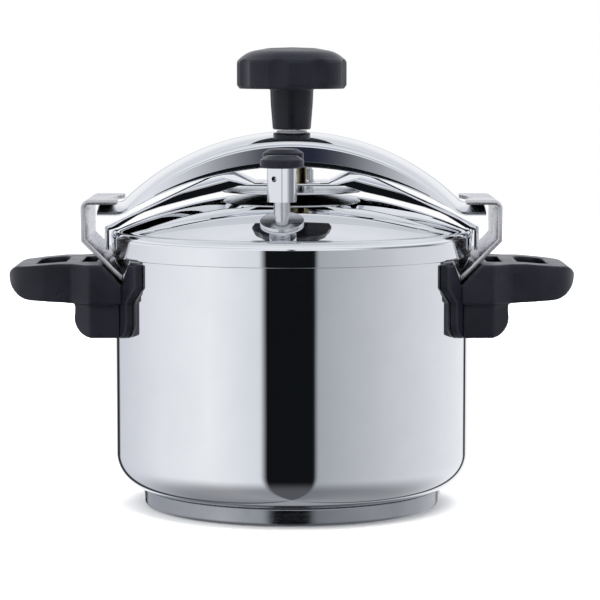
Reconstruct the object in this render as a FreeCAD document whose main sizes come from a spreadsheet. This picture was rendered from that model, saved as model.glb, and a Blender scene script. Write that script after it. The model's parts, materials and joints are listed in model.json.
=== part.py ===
"""Outer-clamp stovetop pressure cooker, 22 cm, as a parametric FreeCAD document.

Row frame in millimetres: origin at the centre of the base, +Z up, the two side handles along X,
the pressure regulator on the -Y side of the lid.
"""
import FreeCAD, Part
import math
import os
import Sketcher

doc = FreeCAD.newDocument("PressureCooker")
sheet = doc.addObject("Spreadsheet::Sheet", "Sizes")
parts = {}


# ---------------------------------------------------------------- sizes that carry their expression
class Size:
    """A length that knows its value and the expression that ties it to the sheet."""

    def __init__(self, value, text):
        self.value = float(value)
        self.text = text

    def joined(self, other, sign, value):
        return Size(value, f"({self.text} {sign} {as_size(other).text})")

    def __add__(self, other):
        return self.joined(other, "+", self.value + as_size(other).value)

    def __sub__(self, other):
        return self.joined(other, "-", self.value - as_size(other).value)

    def __mul__(self, other):
        return self.joined(other, "*", self.value * as_size(other).value)

    def __truediv__(self, other):
        return self.joined(other, "/", self.value / as_size(other).value)

    def __neg__(self):
        return Size(-self.value, f"(0 - {self.text})")

    def __radd__(self, other):
        return as_size(other) + self

    def __rsub__(self, other):
        return as_size(other) - self

    def __rmul__(self, other):
        return as_size(other) * self


def as_size(number):
    return number if isinstance(number, Size) else Size(number, repr(float(number)))


def root_of(size):
    return Size(math.sqrt(size.value), f"sqrt({size.text})")


def cell(alias, value):
    """Writes one driving dimension into the sheet and returns it as a Size."""
    row = len(cell.names) + 1
    cell.names.append(alias)
    sheet.set(f"A{row}", alias)
    sheet.set(f"B{row}", str(value))
    sheet.setAlias(f"B{row}", alias)
    return Size(value, f"Sizes.{alias}")


cell.names = []

# ---------------------------------------------------------------- driving dimensions
gap = cell("gap", 0.1)                          # between faces that only just miss each other
running_fit = cell("running_fit", 0.05)         # radial, threads and sliding pins

pot_radius = cell("pot_radius", 112)
pot_wall = cell("pot_wall", 1.2)
rim_height = cell("rim_height", 167.5)
pot_bend = cell("pot_bend", 22)                 # bend between the wall and the bottom
base_inset = cell("base_inset", 17.5)            # from the pot wall in to the base's side
base_height = cell("base_height", 11)
base_skin = cell("base_skin", 1)

skirt_play = cell("skirt_play", 1.5)            # between the pot wall and the lid skirt
skirt_height = cell("skirt_height", 15.4)
lid_wall = cell("lid_wall", 1.2)
lid_bend = cell("lid_bend", 4)
lid_shoulder = cell("lid_shoulder", 6.5)        # from the pot rim up to the lid's shoulder
dome_rise = cell("dome_rise", 24)
gasket_width = cell("gasket_width", 8.7)
gasket_web = cell("gasket_web", 1.6)

plate_radius = cell("plate_radius", 44.5)       # disc that spreads the screw's push on the lid
plate_sheet = cell("plate_sheet", 1.5)
cup_radius = cell("cup_radius", 8.2)            # cup on the disc that holds the screw's foot
cup_height = cell("cup_height", 7.2)
lid_travel = cell("lid_travel", 3)              # lift of the lid off its seat in one turn

screw_radius = cell("screw_radius", 6)
neck_radius = cell("neck_radius", 4)
bush_radius = cell("bush_radius", 9.5)
bush_flange = cell("bush_flange", 13)

yoke_end_play = cell("yoke_end_play", 6.5)      # from the yoke's end to the hook's web
yoke_half_width = cell("yoke_half_width", 32)
yoke_sheet = cell("yoke_sheet", 2)
arch_rise = cell("arch_rise", 38.5)             # from the dome's top up to the yoke's crown
arch_camber = cell("arch_camber", 5.3)
foot_rise = cell("foot_rise", 17.6)             # from the lid's shoulder to the yoke's flat ends
foot_flat = cell("foot_flat", 11.079)           # length of the yoke's flat ends
foot_lip = cell("foot_lip", 0.6)
foot_bend = cell("foot_bend", 6)
flange_depth = cell("flange_depth", 26)
flange_end = cell("flange_end", 16.3)           # from the yoke's end to the flanges' level part
flange_drop = cell("flange_drop", 21.2)         # from the crown to the flanges' lower edge at the middle
bar_sheet = cell("bar_sheet", 1.5)
bar_seat_half = cell("bar_seat_half", 23)       # half the flat middle of the inner bar
bar_foot_depth = cell("bar_foot_depth", 6.6)    # from under the yoke's feet to the bar's side walls' edges
shelf_drop = cell("shelf_drop", 5)              # from the yoke's flanges at the middle to the bar's shelves
shelf_inside = cell("shelf_inside", 8.5)        # from the disc's edge in to where the bar's shelves begin
shelf_length = cell("shelf_length", 10)
window_inside = cell("window_inside", 11.5)     # from the disc's edge in to where the bar's side walls begin
window_outside = cell("window_outside", 12.5)   # from the disc's edge out to where they follow the dome
wall_slope_start = cell("wall_slope_start", 39) # from the yoke's end in to the last bend of the side walls
wall_slope_end = cell("wall_slope_end", 27)
lift_clear = cell("lift_clear", 1.6)            # between the bar's side walls and the raised lid
bar_droop = cell("bar_droop", 8.5)              # how far the bar's ends fall below the yoke's feet
tongue_play = cell("tongue_play", 2.3)          # between the lid skirt and the bar's down-turned tongues
tongue_depth = cell("tongue_depth", 11)         # from the lid's shoulder down to the tongues' ends

hook_sheet = cell("hook_sheet", 2.9)
hook_half_width = cell("hook_half_width", 40)
hook_stand = cell("hook_stand", 18.4)           # from the pot wall to the outer face of the upright web
hook_arm = cell("hook_arm", 22.4)
hook_play = cell("hook_play", 0.3)              # between the yoke's end and the arm over it
elbow_drop = cell("elbow_drop", 4.7)            # from the lid's shoulder to the web's inward turn
hook_drop = cell("hook_drop", 31)               # from the lid's shoulder to the hook's foot
hook_bend = cell("hook_bend", 5)

saddle_sheet = cell("saddle_sheet", 4)
saddle_half_width = cell("saddle_half_width", 66)
saddle_wing = cell("saddle_wing", 8)            # width of the saddle's wings at their tops
saddle_below = cell("saddle_below", 2.1)        # from the lid skirt's edge down to the saddle's top
saddle_shoulder = cell("saddle_shoulder", 14.5) # height of the saddle's wide upper part
saddle_height = cell("saddle_height", 46.9)
grip_length = cell("grip_length", 65.7)         # from the pot wall to the handle's end
grip_below = cell("grip_below", 3.4)            # from the lid skirt's edge down to the handle's top
grip_thickness = cell("grip_thickness", 24.6)
grip_half_width = cell("grip_half_width", 40)
root_half_width = cell("root_half_width", 50)
slot_half_width = cell("slot_half_width", 24)
slot_length = cell("slot_length", 19)
lug_inset = cell("lug_inset", 3)                # how far the lug's sides stand in under the grip's
pocket_middle = cell("pocket_middle", 15.6)     # from the pot wall to the shallow pocket beside the hook
pocket_length = cell("pocket_length", 9)
pocket_half_width = cell("pocket_half_width", 22)
pocket_depth = cell("pocket_depth", 7)
slot_inset = cell("slot_inset", 26.2)           # from the handle's end to the finger slot's middle

stud_radius = cell("stud_radius", 5)
stud_reach = cell("stud_reach", 7)
stud_spread = cell("stud_spread", 18)
handle_screw_drop = cell("handle_screw_drop", 8.6)  # from the grip's underside to the screws
handle_screw_radius = cell("handle_screw_radius", 2)
handle_screw_head = cell("handle_screw_head", 4.2)

knob_radius = cell("knob_radius", 34.6)
stem_height = cell("stem_height", 25.7)
knob_height = cell("knob_height", 26)
stem_radius = cell("stem_radius", 13.6)
stem_foot_radius = cell("stem_foot_radius", 12)
stem_clear = cell("stem_clear", 0.8)            # between the stem and the yoke's crown
lobe_depth = cell("lobe_depth", 1.3)
lobe_radius = cell("lobe_radius", 26)
insert_radius = cell("insert_radius", 8.5)
pin_radius = cell("pin_radius", 1.5)

valve_x = cell("valve_x", -5.6)
valve_inset = cell("valve_inset", 26)           # from the pot wall in to the regulator's axis
valve_stem = cell("valve_stem", 5)
valve_washer = cell("valve_washer", 13.2)
washer_rise = cell("washer_rise", 1.8)          # washer's thickness over the dome
valve_tip_height = cell("valve_tip_height", 9.9)    # from the weight's foot to the nozzle's tip
weight_radius = cell("weight_radius", 9)
weight_stand = cell("weight_stand", 12.7)       # from the dome up to the weight's foot
weight_height = cell("weight_height", 20.2)
weight_bore = cell("weight_bore", 3.6)
vent_radius = cell("vent_radius", 1.75)
vent_rise = cell("vent_rise", 13.9)             # from the weight's foot to its vent
cap_radius = cell("cap_radius", 13.2)
cap_height = cell("cap_height", 7.6)
float_x = cell("float_x", 11)
float_inset = cell("float_inset", 46)           # from the pot wall in to the float valve's axis
float_rise = cell("float_rise", 19.5)           # from the dome up to the sleeve's top
float_sleeve = cell("float_sleeve", 3.1)
float_pin_radius = cell("float_pin_radius", 1.5)
float_travel = cell("float_travel", 3)
nut_radius = cell("nut_radius", 7.2)
nut_height = cell("nut_height", 4)
seal_radius = cell("seal_radius", 8)


# ---------------------------------------------------------------- building helpers
def bind(item, **links):
    """Sets properties of an object, each one tied to the sheet where it is a Size."""
    for name, value in links.items():
        path = name.replace("__", ".")
        if isinstance(value, Size):
            item.setExpression(path, value.text)
        else:
            setattr(item, name, value)
    return item


def place(item, x=0, y=0, z=0):
    """Moves an object to a point whose coordinates stay tied to the sheet."""
    for axis, value in zip("xyz", (x, y, z)):
        if isinstance(value, Size):
            item.setExpression(f"Placement.Base.{axis}", value.text)
        else:
            setattr(item.Placement.Base, axis, value)
    return item


def keep(node, item):
    """Marks an object as a finished piece and names its file."""
    item.Label = node
    parts[node] = item
    return item


def new_body(name):
    return doc.addObject("PartDesign::Body", name)


def origin_plane(body, role):
    return next(plane for plane in body.Origin.OriginFeatures if plane.Role == role)


def arc_between(start, end, radius):
    """The minor arc from start to end, counter-clockwise if the radius is positive."""
    chord = end - start
    left = FreeCAD.Vector(-chord.y, chord.x, 0).normalize()
    middle = (start + end) * 0.5
    rise = math.sqrt(max(radius * radius - chord.Length ** 2 / 4, 0.0))
    centre = middle + left * math.copysign(rise, radius)
    first = math.atan2(start.y - centre.y, start.x - centre.x)
    last = math.atan2(end.y - centre.y, end.x - centre.x)
    circle = Part.Circle(centre, FreeCAD.Vector(0, 0, 1), abs(radius))
    if radius > 0:
        return Part.ArcOfCircle(circle, first, last), (1, 2)
    return Part.ArcOfCircle(circle, last, first), (2, 1)


def draw(sketch, outline, closed=True):
    """Draws an outline of (x, y) or (x, y, arc radius to the next point), every point tied."""
    points = [FreeCAD.Vector(as_size(item[0]).value, as_size(item[1]).value, 0) for item in outline]
    count = len(outline) if closed else len(outline) - 1
    ends = []
    for index in range(count):
        start = points[index]
        end = points[(index + 1) % len(points)]
        if len(outline[index]) == 3:
            edge, corners = arc_between(start, end, as_size(outline[index][2]).value)
        else:
            edge, corners = Part.LineSegment(start, end), (1, 2)
        ends.append((sketch.addGeometry(edge), corners))
    tie_points(sketch, outline, ends, closed)
    return sketch


def tie_points(sketch, outline, ends, closed):
    for index, (edge, corners) in enumerate(ends):
        following = (index + 1) % len(ends)
        if closed or index + 1 < len(ends):
            sketch.addConstraint(
                Sketcher.Constraint("Coincident", edge, corners[1], ends[following][0], ends[following][1][0]))
        tie_point(sketch, edge, corners[0], outline[index])
        if len(outline[index]) == 3:
            radius = as_size(outline[index][2])
            size = radius if radius.value > 0 else -radius
            tie(sketch, Sketcher.Constraint("Radius", edge, size.value), size)
    if not closed:
        edge, corners = ends[-1]
        tie_point(sketch, edge, corners[1], outline[-1])


def tie_point(sketch, edge, corner, place_of):
    for kind, value in zip(("DistanceX", "DistanceY"), place_of):
        value = as_size(value)
        tie(sketch, Sketcher.Constraint(kind, -1, 1, edge, corner, value.value), value)


def tie(sketch, constraint, size):
    number = sketch.addConstraint(constraint)
    if "Sizes." in size.text:
        sketch.setExpression(f"Constraints[{number}]", size.text)


def body_sketch(body, role, outline, name="Outline"):
    sketch = body.newObject("Sketcher::SketchObject", name)
    sketch.AttachmentSupport = [(origin_plane(body, role), "")]
    sketch.MapMode = "FlatFace"
    return draw(sketch, outline)


def turned(node, outline, x=0, y=0):
    """A body of revolution about the vertical line through (x, y); outline in (radius, height)."""
    body = new_body(node)
    sketch = body_sketch(body, "XZ_Plane", outline)
    turn = body.newObject("PartDesign::Revolution", "Turn")
    turn.Profile = sketch
    turn.ReferenceAxis = (sketch, ["V_Axis"])
    turn.Angle = 360
    place(body, x, y)
    return body


def extruded(node, role, outline, length):
    """A pad of the outline, equally to both sides of its plane."""
    body = new_body(node)
    pad = body.newObject("PartDesign::Pad", "Pad")
    pad.Profile = body_sketch(body, role, outline)
    pad.SideType = "Symmetric"
    bind(pad, Length=length)
    return body


def cylinder(name, radius, height, x=0, y=0, z=0):
    return place(bind(doc.addObject("Part::Cylinder", name), Radius=radius, Height=height), x, y, z)


def boolean(kind, name, base, tool):
    item = doc.addObject(f"Part::{kind}", name)
    item.Base = base
    item.Tool = tool
    return item


def cut(name, base, tool):
    return boolean("Cut", name, base, tool)


def common(name, base, tool):
    return boolean("Common", name, base, tool)


def fused(name, shapes):
    item = doc.addObject("Part::MultiFuse", name)
    item.Shapes = shapes
    return item


def mirrored(name, source):
    """A copy on the other side of the plane x = 0."""
    item = doc.addObject("Part::Mirroring", name)
    item.Source = source
    item.Normal = FreeCAD.Vector(1, 0, 0)
    return item


# ---------------------------------------------------------------- lid surfaces shared by what seats on it
skirt_inner = pot_radius + skirt_play
skirt_outer = skirt_inner + lid_wall
shoulder = rim_height + lid_shoulder
skirt_bottom = shoulder - skirt_height
dome_edge = skirt_outer - lid_bend
dome_radius = (dome_edge * dome_edge + dome_rise * dome_rise) / (dome_rise * 2)
dome_top = shoulder + dome_rise
dome_centre = dome_top - dome_radius
inner_share = (dome_radius - lid_wall) / dome_radius

base_radius = pot_radius - base_inset
hook_web = pot_radius + hook_stand
hook_tip = hook_web - hook_arm
hook_elbow = shoulder - elbow_drop
hook_foot_height = shoulder - hook_drop
tongue_low = shoulder - tongue_depth

yoke_reach = hook_web - hook_sheet - yoke_end_play
arch_top = dome_top + arch_rise
arch_foot = shoulder + foot_rise
bend_centre_x = yoke_reach - foot_flat
bend_centre_height = arch_foot + foot_bend
crown_rise = arch_top - bend_centre_height
arch_radius = ((bend_centre_x * bend_centre_x + crown_rise * crown_rise - foot_bend * foot_bend)
               / ((crown_rise + foot_bend) * 2))
flange_middle = arch_top - flange_drop
flange_low = arch_foot - arch_camber - foot_lip
flange_rise = flange_middle - flange_low
flange_chord = yoke_reach - flange_end
flange_curve = (flange_chord * flange_chord + flange_rise * flange_rise) / (flange_rise * 2)

saddle_top = skirt_bottom - saddle_below
saddle_waist = saddle_top - saddle_shoulder
saddle_bottom = saddle_top - saddle_height
grip_reach = pot_radius + grip_length
grip_top = skirt_bottom - grip_below
grip_under = grip_top - grip_thickness
slot_middle = grip_reach - slot_inset
handle_screw_height = grip_under - handle_screw_drop
knob_under = arch_top + stem_clear + stem_height
valve_y = -(pot_radius - valve_inset)
float_y = pot_radius - float_inset


def dome_height(x, y):
    """Height of the lid's outer surface over the point (x, y)."""
    return dome_centre + root_of(dome_radius * dome_radius - x * x - y * y)


weight_foot = dome_height(valve_x, valve_y) + weight_stand
valve_tip = weight_foot + valve_tip_height
vent_height = weight_foot + vent_rise
float_top = dome_height(float_x, float_y) + float_rise


def dome_ball(name, offset):
    """The ball whose surface is the lid's outer dome, moved out by offset."""
    ball = doc.addObject("Part::Sphere", name)
    return place(bind(ball, Radius=dome_radius + offset), 0, 0, dome_centre)


# ---------------------------------------------------------------- pot
def make_pot():
    inner = pot_radius - pot_wall
    floor_edge = pot_radius - pot_bend
    keep("pot_body", turned("PotBody", [
        (0, base_height), (floor_edge, base_height, pot_bend), (pot_radius, base_height + pot_bend),
        (pot_radius, rim_height), (inner, rim_height),
        (inner, base_height + pot_bend, -(pot_bend - pot_wall)), (floor_edge, base_height + pot_wall),
        (0, base_height + pot_wall)]))
    edge = as_size(3)
    keep("base_cap", turned("BaseCap", [
        (0, 0), (base_radius - edge, 0, edge), (base_radius, edge), (base_radius, base_height),
        (base_radius - base_skin, base_height), (base_radius - base_skin, edge, base_skin - edge),
        (base_radius - edge, base_skin), (0, base_skin)]))
    core_edge = base_radius - base_skin - gap
    bevel = as_size(2)
    keep("base_core", turned("BaseCore", [
        (0, base_skin), (core_edge - bevel, base_skin), (core_edge, base_skin + bevel),
        (core_edge, base_height), (0, base_height)]))


# ---------------------------------------------------------------- hooks, saddles, studs
def wall_cylinder(name, radius):
    return cylinder(name, radius, rim_height * 2, z=-rim_height / 2)


def hook_outline():
    """Side view of the right hook: foot on the pot, slanting leg, upright web, arm over the yoke."""
    arm_under = arch_foot + hook_play
    arm_top = arm_under + hook_sheet
    inner_web = hook_web - hook_sheet
    diagonal = math.sqrt(2)
    across = hook_sheet * diagonal
    foot = hook_web - (hook_elbow - hook_foot_height)
    return [
        (foot, hook_foot_height), (hook_web, hook_elbow), (hook_web, arm_top - hook_bend, hook_bend),
        (hook_web - hook_bend, arm_top), (hook_tip, arm_top), (hook_tip, arm_under),
        (hook_web - hook_bend, arm_under, hook_sheet - hook_bend), (inner_web, arm_top - hook_bend),
        (inner_web, hook_elbow + across - hook_sheet), (foot - across, hook_foot_height)]


def make_hooks():
    strip = extruded("HookStrip", "XZ_Plane", hook_outline(), hook_half_width * 2)
    right = cut("HookRight", strip, wall_cylinder("HookSeat", pot_radius + gap))
    keep("hook_right", right)
    keep("hook_left", mirrored("HookLeft", right))


def saddle_outline():
    low = saddle_half_width * 0.84
    corner = as_size(10)
    wing = saddle_half_width - saddle_wing
    notch = hook_foot_height - gap * 5
    return [
        (-saddle_half_width, saddle_waist), (-saddle_half_width, saddle_top), (-wing, saddle_top),
        (-root_half_width, notch), (root_half_width, notch),
        (wing, saddle_top), (saddle_half_width, saddle_top), (saddle_half_width, saddle_waist),
        (low, saddle_waist - corner), (low, saddle_bottom + corner, -corner), (low - corner, saddle_bottom),
        (corner - low, saddle_bottom, -corner), (-low, saddle_bottom + corner), (-low, saddle_waist - corner)]


def saddle_blank(name):
    """The saddle's outline as a block that stands over the right side of the pot."""
    blank = extruded(name, "YZ_Plane", saddle_outline(), pot_radius)
    return place(blank, pot_radius * 1.25)


def make_saddles():
    inner = wall_cylinder("SaddleInner", pot_radius + gap)
    outer = wall_cylinder("SaddleOuter", pot_radius + saddle_sheet)
    shell = cut("SaddleShell", outer, inner)
    plate = common("SaddlePlate", saddle_blank("SaddleBlank"), shell)
    right = cut("SaddleRight", plate, stud_pair("SaddleHoles", stud_radius + gap, 0))
    keep("saddle_right", right)
    keep("saddle_left", mirrored("SaddleLeft", right))


def along_x(name, radius, start, length, y, z):
    """A cylinder that points along +X from start."""
    rod = cylinder(name, radius, length, start, y, z)
    rod.Placement.Rotation = FreeCAD.Rotation(FreeCAD.Vector(0, 1, 0), 90)
    return rod


def stud_pair(name, radius, longer):
    reach = pot_radius + saddle_sheet + stud_reach + longer
    start = pot_radius - 3
    rods = [along_x(f"{name}{index}", radius, start, reach - start, side * stud_spread, handle_screw_height)
            for index, side in enumerate((-1, 1))]
    return fused(name, rods)


def screw_pair(name, shank, head, seat, outer, start):
    """Two screws: shank from start to seat, head from seat to outer."""
    rods = []
    for index, side in enumerate((-1, 1)):
        y = side * stud_spread
        body = along_x(f"{name}Shank{index}", shank, start, seat - start, y, handle_screw_height)
        crown = along_x(f"{name}Head{index}", head, seat, outer - seat, y, handle_screw_height)
        rods += [body, crown]
    return fused(name, rods)


def make_fasteners():
    end = pot_radius + saddle_sheet + stud_reach
    start = pot_radius + stud_radius
    seat = end + 5
    plain = stud_pair("StudRods", stud_radius, 0)
    welded = cut("StudSeats", plain, wall_cylinder("StudSeat", pot_radius + gap))
    bores = screw_pair("StudBores", handle_screw_radius + running_fit, handle_screw_radius, end + 1, end + 2,
                       start - 1)
    right = cut("StudsRight", welded, bores)
    both = fused("Studs", [right, mirrored("StudsLeft", right)])
    keep("handle_studs", both)
    screws = screw_pair("ScrewsRight", handle_screw_radius, handle_screw_head, seat, seat + 2.4, start)
    keep("handle_screws", fused("Screws", [screws, mirrored("ScrewsLeft", screws)]))


# ---------------------------------------------------------------- handles
def grip_outline():
    """Side view of the right handle: grip, lug under it, slope where the hook's leg passes."""
    slope_top = hook_web - (hook_elbow - grip_top) + 1.5
    lug = pot_radius + 22.7
    return [
        (pot_radius - 12, saddle_bottom), (lug - 11, saddle_bottom, 12), (lug, grip_under - 6),
        (lug, grip_under), (grip_reach - 16, grip_under + 1.6, 16), (grip_reach, grip_top - 8, 9),
        (grip_reach - 9, grip_top - 2), (grip_reach - 32, grip_top), (slope_top, grip_top),
        (slope_top - (grip_top - hook_foot_height), hook_foot_height),
        (pot_radius - 12, hook_foot_height)]


def grip_plan(inset=0.0):
    """Top view of the right handle, with its long sides moved in by inset."""
    shoulder_x = pot_radius + 24
    corner = as_size(26)
    root = root_half_width - inset
    half = grip_half_width - inset
    return [
        (pot_radius - 12, -root), (pot_radius + 13, -root), (shoulder_x, -half),
        (grip_reach - corner, -half, corner), (grip_reach, corner - half),
        (grip_reach, half - corner, corner), (grip_reach - corner, half),
        (shoulder_x, half), (pot_radius + 13, root), (pot_radius - 12, root)]


def slot_plan(middle, reach, half, corner):
    """Top view of a hole with rounded corners."""
    near = middle - reach
    far = middle + reach
    return [
        (near, corner - half, corner), (near + corner, -half), (far - corner, -half, corner),
        (far, corner - half), (far, half - corner, corner), (far - corner, half),
        (near + corner, half, corner), (near, half - corner)]


def make_handles():
    side_view = extruded("GripSide", "XZ_Plane", grip_outline(), root_half_width * 2 + 4)
    plan = extruded("GripPlan", "XY_Plane", grip_plan(), grip_top * 3)
    block = common("GripBlock", side_view, plan)
    block = cut("GripSeated", block, wall_cylinder("GripSeat", pot_radius + saddle_sheet + gap))
    slot = slot_plan(slot_middle, slot_length / 2, slot_half_width, as_size(7))
    block = cut("GripSlotted", block, extruded("GripSlot", "XY_Plane", slot, grip_top * 3))
    pocket = slot_plan(pot_radius + pocket_middle, pocket_length / 2, pocket_half_width, as_size(3))
    recess = place(extruded("GripRecess", "XY_Plane", pocket, pocket_depth * 2), z=grip_top)
    block = cut("GripPocketed", block, recess)
    flanks = cut("LugFlanks", extruded("LugAround", "XY_Plane", grip_plan(-2.0), grip_under * 2),
                 extruded("LugPlan", "XY_Plane", grip_plan(lug_inset), grip_under * 2 + 4))
    block = cut("GripLugged", block, flanks)
    end = pot_radius + saddle_sheet + stud_reach
    block = cut("GripStudded", block, stud_pair("GripPockets", stud_radius + gap, 0.3))
    bores = screw_pair("GripBores", handle_screw_radius + gap, handle_screw_head + 0.3, end + 5 - gap,
                       end + 60, end - 1)
    right = cut("GripRight", block, bores)
    keep("handle_right", right)
    keep("handle_left", mirrored("GripLeft", right))


# ---------------------------------------------------------------- lid
valve_hole = valve_stem - 1 + gap
float_hole = float_sleeve + 0.9 + gap


def make_lid():
    inner_edge = dome_edge * inner_share
    inner_rise = dome_centre + (shoulder - dome_centre) * inner_share
    bend_low = shoulder - lid_bend
    shell = turned("LidShell", [
        (0, dome_top - lid_wall, lid_wall - dome_radius), (inner_edge, inner_rise, lid_wall - lid_bend),
        (skirt_inner, bend_low), (skirt_inner, skirt_bottom), (skirt_outer, skirt_bottom),
        (skirt_outer, bend_low, lid_bend), (dome_edge, shoulder, dome_radius), (0, dome_top)])
    holes = fused("LidHoles", [
        cylinder("ValveHole", valve_hole, dome_rise * 2, valve_x, valve_y, shoulder - lid_bend),
        cylinder("FloatHole", float_hole, dome_rise * 2, float_x, float_y, shoulder - lid_bend)])
    keep("lid_shell", cut("LidDrilled", shell, holes))


def make_gasket():
    outer = skirt_inner - 0.3
    inner = outer - gasket_width
    low = rim_height + gap * 2
    slope = gasket_web + 1
    web = outer - gasket_web * 2
    keep("lid_gasket", turned("Gasket", [
        (inner, low), (outer, low), (outer, low + 2), (outer - 2, low + 4.4), (inner, low + 5.4),
        (inner, low + 5.4 - gasket_web), (web, low + 4.4 - gasket_web), (web, low + slope - 1),
        (inner, low + slope - 1)]))


plate_low = dome_top + gap
plate_top = plate_low + plate_sheet
cup_top = plate_top + cup_height


def make_plate():
    """Disc on the lid with a cup at its centre; the cup's lip holds the screw's foot."""
    rim = plate_sheet / 2
    cavity = screw_radius + 0.4
    lip = neck_radius + 0.2
    well = plate_top + 1.3
    keep("pressure_plate", turned("Plate", [
        (0, plate_low), (plate_radius - rim, plate_low, rim), (plate_radius, plate_low + rim, rim),
        (plate_radius - rim, plate_top), (cup_radius, plate_top), (cup_radius, cup_top), (lip, cup_top),
        (lip, cup_top - 2), (cavity, cup_top - 2), (cavity, well), (0, well)]))


# ---------------------------------------------------------------- screw, bush and knob
stem_foot = arch_top + stem_clear
insert_low = stem_foot + 1
insert_top = stem_foot + 22
screw_top = stem_foot + 20
pin_height = stem_foot + 15


def make_screw():
    foot_low = plate_top + 1.3 + gap
    foot_top = cup_top - 2 - gap * 3
    shoulder_z = cup_top + 0.4
    neck = foot_top
    rod = turned("Screw", [
        (0, foot_low), (screw_radius, foot_low), (screw_radius, neck), (neck_radius, neck),
        (neck_radius, shoulder_z), (screw_radius, shoulder_z + 1), (screw_radius, screw_top),
        (0, screw_top)])
    pin_hole = knob_pin("ScrewPinHole", pin_radius + gap, insert_radius + 3)
    keep("clamp_screw", cut("ScrewDrilled", rod, pin_hole))


def knob_pin(name, radius, half):
    return along_x(name, radius, -half, half * 2, 0, pin_height)


def make_bush():
    """Threaded bush fixed in the yoke: seat for the cup below, flange under the crown."""
    low = plate_top + lid_travel + 0.3
    seat_top = cup_top + lid_travel + 0.5
    seat = cup_radius + 0.3
    bore = screw_radius + running_fit
    flange_top = arch_top - yoke_sheet - 1.2
    keep("threaded_bush", turned("Bush", [
        (seat, low), (bush_radius, low), (bush_radius, flange_top - 4), (bush_flange, flange_top - 4),
        (bush_flange, flange_top), (bush_radius, flange_top), (bush_radius, arch_top + 0.1),
        (bore, arch_top + 0.1), (bore, seat_top), (seat, seat_top)]))


def make_knob():
    top = knob_under + knob_height
    side = knob_under + knob_height * 0.62
    round_top = as_size(5)
    round_under = as_size(4)
    foot_round = as_size(3)
    bore = insert_radius + gap
    crown_edge = knob_radius - round_top * 0.7
    crown_low = side + 2.5
    crown_rise = top - crown_low
    crown = (crown_edge * crown_edge + crown_rise * crown_rise) / (crown_rise * 2)
    head = turned("KnobSolid", [
        (bore, stem_foot), (stem_foot_radius - foot_round, stem_foot, foot_round),
        (stem_foot_radius, stem_foot + foot_round), (stem_radius, knob_under),
        (knob_radius - round_under, knob_under, round_under), (knob_radius, knob_under + round_under),
        (knob_radius, side - round_top / 2, round_top), (crown_edge, crown_low, crown),
        (0, top), (0, insert_top + gap), (bore, insert_top + gap)])
    lobes = []
    count = 8
    for index in range(count):
        angle = math.radians(360 / count * (index + 0.5) + 8)
        away = knob_radius + lobe_radius - lobe_depth
        lobes.append(cylinder(f"Lobe{index}", lobe_radius, knob_height + 2, away * math.cos(angle),
                              away * math.sin(angle), knob_under - 1))
    fluted = cut("KnobFluted", head, fused("KnobFlutes", lobes))
    pinned = cut("KnobPinned", fluted, knob_pin("KnobPinHole", pin_radius + gap, insert_radius + 3))
    keep("knob", pinned)
    sleeve = turned("Insert", [
        (screw_radius + gap, insert_low), (insert_radius, insert_low), (insert_radius, insert_top),
        (0, insert_top), (0, screw_top + gap), (screw_radius + gap, screw_top + gap)])
    keep("knob_insert", cut("InsertDrilled", sleeve, knob_pin("InsertPinHole", pin_radius + gap,
                                                              insert_radius + 3)))
    keep("knob_pin", knob_pin("Pin", pin_radius, insert_radius + 2.6))


# ---------------------------------------------------------------- yoke
arch_centre = arch_top - arch_radius
foot_drop = bend_centre_height - arch_centre
bend_share = arch_radius / (arch_radius + foot_bend)
arch_end_x = bend_centre_x * bend_share
arch_end_z = arch_centre + foot_drop * bend_share


def plain_sketch(name, role_rotation, outline, closed=True):
    """A sketch of its own, turned to stand in the XZ or YZ plane."""
    sketch = doc.addObject("Sketcher::SketchObject", name)
    draw(sketch, outline, closed)
    sketch.Placement.Rotation = role_rotation
    return sketch


FRONT = FreeCAD.Rotation(FreeCAD.Vector(1, 0, 0), 90)
SIDE = FreeCAD.Rotation(FreeCAD.Vector(1, 1, 1), 120)


def crown_radius(half):
    return (half * half + arch_camber * arch_camber) / (arch_camber * 2)


def channel_section():
    """Section of the outer channel at its middle: cambered crown with a flange at each side."""
    half = yoke_half_width
    inner = half - yoke_sheet
    crease = arch_top - arch_camber
    low = arch_top - flange_depth
    radius = crown_radius(half)
    inner_radius = radius - yoke_sheet
    inner_crease = arch_top - radius + root_of(inner_radius * inner_radius - inner * inner)
    return [
        (-half, low), (-inner, low), (-inner, inner_crease, -inner_radius), (inner, inner_crease),
        (inner, low), (half, low), (half, crease, radius), (-half, crease)]


def make_yoke():
    path = plain_sketch("ArchPath", FRONT, [
        (0, arch_top, -arch_radius), (arch_end_x, arch_end_z, foot_bend), (bend_centre_x, arch_foot),
        (yoke_reach, arch_foot)], closed=False)
    half = doc.addObject("Part::Sweep", "ArchHalf")
    half.Sections = [plain_sketch("ArchSection", SIDE, channel_section())]
    half.Spine = path
    half.Solid = True
    half.Frenet = False
    other = mirrored("ArchOtherHalf", half)
    whole = fused("ArchWhole", [half, other])
    whole.Refine = True
    below = cylinder("FlangeCurve", flange_curve, yoke_half_width * 4, 0, yoke_half_width * 2,
                     flange_middle - flange_curve)
    below.Placement.Rotation = FRONT
    foot_low = flange_low
    low_box = bind(doc.addObject("Part::Box", "FootTrim"), Length=yoke_reach * 4, Width=yoke_half_width * 4,
                   Height=foot_low)
    place(low_box, -(yoke_reach * 2), -(yoke_half_width * 2))
    trimmed = cut("ArchTrimmed", whole, fused("ArchTrim", [below, low_box]))
    bored = cut("ArchBored", trimmed, cylinder("ArchBore", bush_radius + gap, arch_top))
    keep("yoke_channel", bored)


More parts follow.
